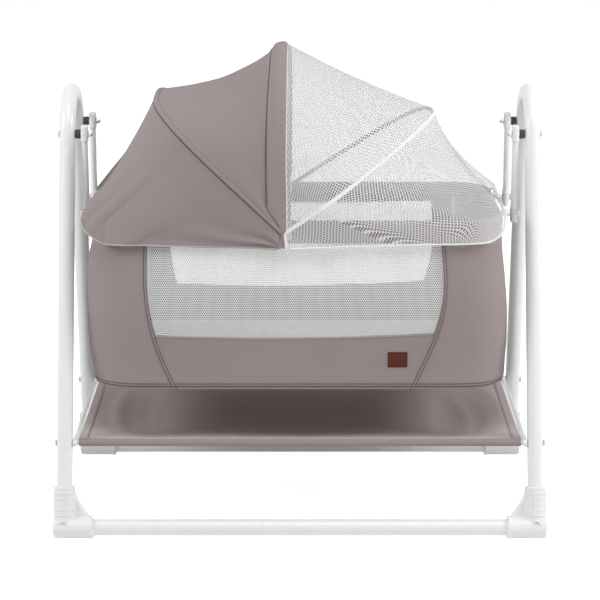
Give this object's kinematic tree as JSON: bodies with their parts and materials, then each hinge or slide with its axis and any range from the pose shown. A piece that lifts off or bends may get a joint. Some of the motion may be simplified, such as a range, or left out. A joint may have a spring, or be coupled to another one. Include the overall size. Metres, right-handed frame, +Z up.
{
  "type": "baby cradle",
  "caption": "Cloth baby basket with mesh windows and a folding half-cloth, half-net canopy, hung on short arms inside a white bent-tube stand with a sling shelf.",
  "frame": {"origin": "on the floor, under the middle of the stand", "axes": "+Z up; X along the cradle, cloth half of the canopy at -X and net half at +X; -Y is the front, and the basket swings along Y"},
  "size_m": [1.08, 0.6568, 1.0417],
  "materials": {
    "white_steel": "white powder coat, satin",
    "white_plastic": "moulded white plastic, fine texture",
    "zinc": "zinc plated, satin",
    "black_plastic": "black plastic, matt",
    "grey_steel": "bare spring steel rod",
    "taupe_cloth": "taupe woven cloth",
    "shelf_cloth": "taupe woven cloth",
    "white_net": "white knitted mosquito net",
    "mattress_cloth": "off-white quilted cotton",
    "board": "plain hardboard",
    "tan_patch": "rust brown leather-look patch, bare"
  },
  "bodies": {
    "stand": {"left_end_frame": "white_steel", "right_end_frame": "white_steel", "front_rail": "white_steel", "rear_rail": "white_steel", "front_left_corner": "white_plastic", "front_right_corner": "white_plastic", "rear_left_corner": "white_plastic", "rear_right_corner": "white_plastic", "front_left_upper_bolt": "zinc", "front_right_upper_bolt": "zinc", "rear_left_upper_bolt": "zinc", "rear_right_upper_bolt": "zinc", "front_left_upper_bush": "black_plastic", "front_right_upper_bush": "black_plastic", "rear_left_upper_bush": "black_plastic", "rear_right_upper_bush": "black_plastic", "front_left_shelf_bolt": "zinc", "front_right_shelf_bolt": "zinc", "rear_left_shelf_bolt": "zinc", "rear_right_shelf_bolt": "zinc", "shelf_front_rod": "white_steel", "shelf_rear_rod": "white_steel", "shelf_left_bar": "white_steel", "shelf_right_bar": "white_steel", "shelf_cloth": "shelf_cloth"},
    "front_left_hanger": {"front_left_arm": "white_steel", "front_left_upper_cap": "white_plastic", "front_left_lower_cap": "white_plastic"},
    "front_right_hanger": {"front_right_arm": "white_steel", "front_right_upper_cap": "white_plastic", "front_right_lower_cap": "white_plastic"},
    "rear_left_hanger": {"rear_left_arm": "white_steel", "rear_left_upper_cap": "white_plastic", "rear_left_lower_cap": "white_plastic"},
    "rear_right_hanger": {"rear_right_arm": "white_steel", "rear_right_upper_cap": "white_plastic", "rear_right_lower_cap": "white_plastic"},
    "basket": {"front_left_lower_bolt": "zinc", "front_right_lower_bolt": "zinc", "rear_left_lower_bolt": "zinc", "rear_right_lower_bolt": "zinc", "basket_top_ring": "white_steel", "left_hoop": "white_steel", "right_hoop": "white_steel", "base_board": "board", "mattress": "mattress_cloth", "basket_cloth": "taupe_cloth", "front_window_net": "white_net", "rear_window_net": "white_net", "front_canopy_bracket": "white_plastic", "rear_canopy_bracket": "white_plastic", "label_patch": "tan_patch"},
    "left_bow_turn": {"left_bow": "grey_steel", "canopy_cloth": "taupe_cloth"},
    "middle_bow_turn": {"middle_bow": "grey_steel"},
    "right_bow_turn": {"right_bow": "grey_steel", "canopy_net": "white_net"}
  },
  "joints": [
    {"name": "swing", "type": "hinge", "parent": "stand", "child": "front_left_hanger", "pos_m": [-0.4685, -0.0949, 0.852], "axis": [1, 0, 0], "range_deg": [-20, 20]},
    {"name": "front_right_swing", "type": "hinge", "parent": "stand", "child": "front_right_hanger", "pos_m": [0.4685, -0.0949, 0.852], "axis": [1, 0, 0], "range_deg": [-20, 20]},
    {"name": "rear_left_swing", "type": "hinge", "parent": "stand", "child": "rear_left_hanger", "pos_m": [-0.4685, 0.0949, 0.852], "axis": [1, 0, 0], "range_deg": [-20, 20]},
    {"name": "rear_right_swing", "type": "hinge", "parent": "stand", "child": "rear_right_hanger", "pos_m": [0.4685, 0.0949, 0.852], "axis": [1, 0, 0], "range_deg": [-20, 20]},
    {"name": "basket_hang", "type": "hinge", "parent": "front_left_hanger", "child": "basket", "pos_m": [-0.4685, -0.0949, 0.677], "axis": [1, 0, 0], "range_deg": [-20, 20]},
    {"name": "canopy_fold", "type": "hinge", "parent": "basket", "child": "left_bow_turn", "pos_m": [-0.035, 0, 0.665], "axis": [0, 1, 0], "range_deg": [-30.4, 0], "deforming": ["canopy_cloth", "canopy_net"]},
    {"name": "middle_bow_fold", "type": "hinge", "parent": "left_bow_turn", "child": "middle_bow_turn", "pos_m": [-0.035, 0, 0.665], "axis": [0, 1, 0], "range_deg": [-39.61, 0]},
    {"name": "right_bow_fold", "type": "hinge", "parent": "middle_bow_turn", "child": "right_bow_turn", "pos_m": [-0.035, 0, 0.665], "axis": [0, 1, 0], "range_deg": [-49.61, 0]}
  ],
  "couplings": [
    {"joint": "front_right_swing", "follows": "swing", "ratio": 1},
    {"joint": "rear_left_swing", "follows": "swing", "ratio": 1},
    {"joint": "rear_right_swing", "follows": "swing", "ratio": 1},
    {"joint": "basket_hang", "follows": "swing", "ratio": -1},
    {"joint": "middle_bow_fold", "follows": "canopy_fold", "ratio": 1.3026},
    {"joint": "right_bow_fold", "follows": "canopy_fold", "ratio": 1.6316}
  ]
}
